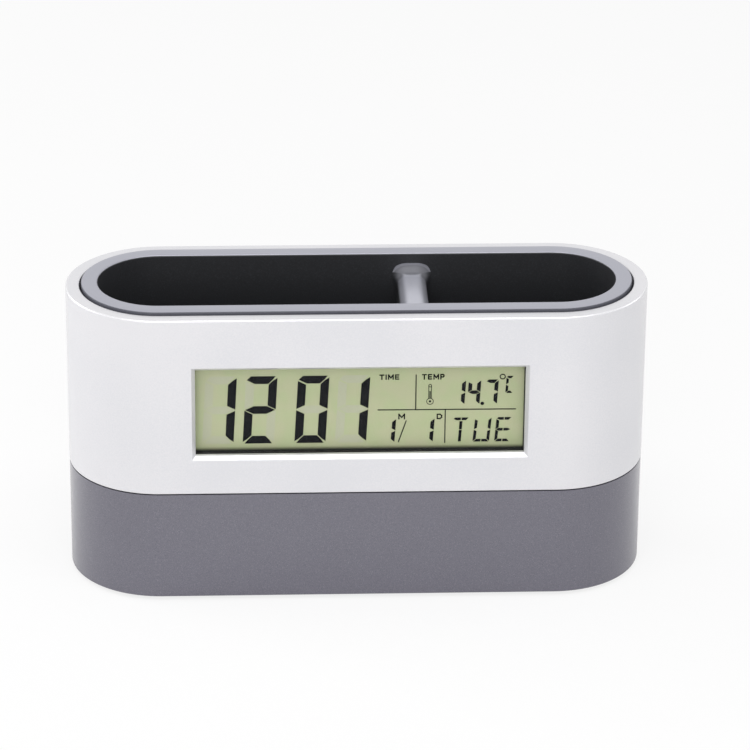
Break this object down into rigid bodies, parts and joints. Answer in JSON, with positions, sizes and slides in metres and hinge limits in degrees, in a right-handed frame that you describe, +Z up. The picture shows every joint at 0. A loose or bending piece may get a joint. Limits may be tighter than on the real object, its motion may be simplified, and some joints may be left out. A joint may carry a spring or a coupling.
{
  "type": "desk pen holder with digital clock",
  "caption": "Round-ended desk pen holder with open compartments and a digital clock display set in its front, with keys and a battery door on the base.",
  "frame": {"origin": "middle of the casing, on the ground under its rubber feet", "axes": "+Z up, +X along the casing, to the right as the display is read; the display faces -Y"},
  "size_m": [0.15, 0.048, 0.0804],
  "materials": {
    "satin_silver": "satin silver paint on moulded plastic",
    "speckled_grey": "dark metallic grey paint with a fine fleck",
    "liner_grey": "grey metallic paint on the rim, black inside",
    "clear_plastic": "clear acrylic",
    "lcd_green": "grey-green reflective liquid crystal glass",
    "black_plastic": "black moulded plastic",
    "conductive_rubber": "layered conductive rubber",
    "circuit_board": "solder mask",
    "zinc_steel": "zinc plated",
    "nickel_plate": "nickel plated",
    "buzzer_brass": "bare brass with a ceramic disc",
    "cell_jacket": "printed film over a steel can",
    "foot_rubber": "matt",
    "key_plastic": "satin",
    "red_insulation": "satin",
    "black_insulation": "satin",
    "ribbon_insulation": "satin",
    "chip_epoxy": "gloss"
  },
  "bodies": {
    "root": {"base_shell": "speckled_grey", "battery_1": "cell_jacket", "battery_2": "cell_jacket", "battery_bridge_contact": "nickel_plate", "board_screw_1": "zinc_steel", "board_screw_2": "zinc_steel", "board_screw_3": "zinc_steel", "board_screw_4": "zinc_steel", "buzzer": "buzzer_brass", "buzzer_lead": "black_insulation", "case_screw_1": "zinc_steel", "case_screw_2": "zinc_steel", "case_screw_3": "zinc_steel", "case_screw_4": "zinc_steel", "clock_chip": "chip_epoxy", "down_switch": "black_plastic", "key_board": "circuit_board", "lcd_frame": "black_plastic", "lcd_panel": "lcd_green", "main_board": "circuit_board", "mode_switch": "black_plastic", "negative_contact": "nickel_plate", "negative_wire": "black_insulation", "positive_contact": "nickel_plate", "positive_wire": "red_insulation", "quartz_crystal": "nickel_plate", "ribbon_cable": "ribbon_insulation", "rubber_foot_1": "foot_rubber", "rubber_foot_2": "foot_rubber", "rubber_foot_3": "foot_rubber", "rubber_foot_4": "foot_rubber", "set_switch": "black_plastic", "silver_sleeve": "satin_silver", "temperature_sensor": "chip_epoxy", "tray_liner": "liner_grey", "tray_screw_1": "zinc_steel", "tray_screw_2": "zinc_steel", "tray_screw_3": "zinc_steel", "tray_screw_4": "zinc_steel", "up_switch": "black_plastic", "window_lens": "clear_plastic", "zebra_strip_lower": "conductive_rubber", "zebra_strip_upper": "conductive_rubber"},
    "set_key_body": {"set_key": "key_plastic", "set_plunger": "black_plastic"},
    "mode_key_body": {"mode_key": "key_plastic", "mode_plunger": "black_plastic"},
    "up_key_body": {"up_key": "key_plastic", "up_plunger": "black_plastic"},
    "down_key_body": {"down_key": "key_plastic", "down_plunger": "black_plastic"},
    "door_body": {"battery_door": "speckled_grey"}
  },
  "joints": [
    {"name": "set_key_press", "type": "slide", "parent": "root", "child": "set_key_body", "axis": [0, -1, 0], "range_m": [0, 0.0006], "stiffness_N_per_m": 400},
    {"name": "mode_key_press", "type": "slide", "parent": "root", "child": "mode_key_body", "axis": [0, -1, 0], "range_m": [0, 0.0006], "stiffness_N_per_m": 400},
    {"name": "up_key_press", "type": "slide", "parent": "root", "child": "up_key_body", "axis": [0, -1, 0], "range_m": [0, 0.0006], "stiffness_N_per_m": 400},
    {"name": "down_key_press", "type": "slide", "parent": "root", "child": "down_key_body", "axis": [0, -1, 0], "range_m": [0, 0.0006], "stiffness_N_per_m": 400},
    {"name": "battery_door_swing", "type": "hinge", "parent": "root", "child": "door_body", "pos_m": [-0.0273, -0.0018, 0.001], "axis": [0, 1, 0], "range_deg": [0, 60]}
  ]
}
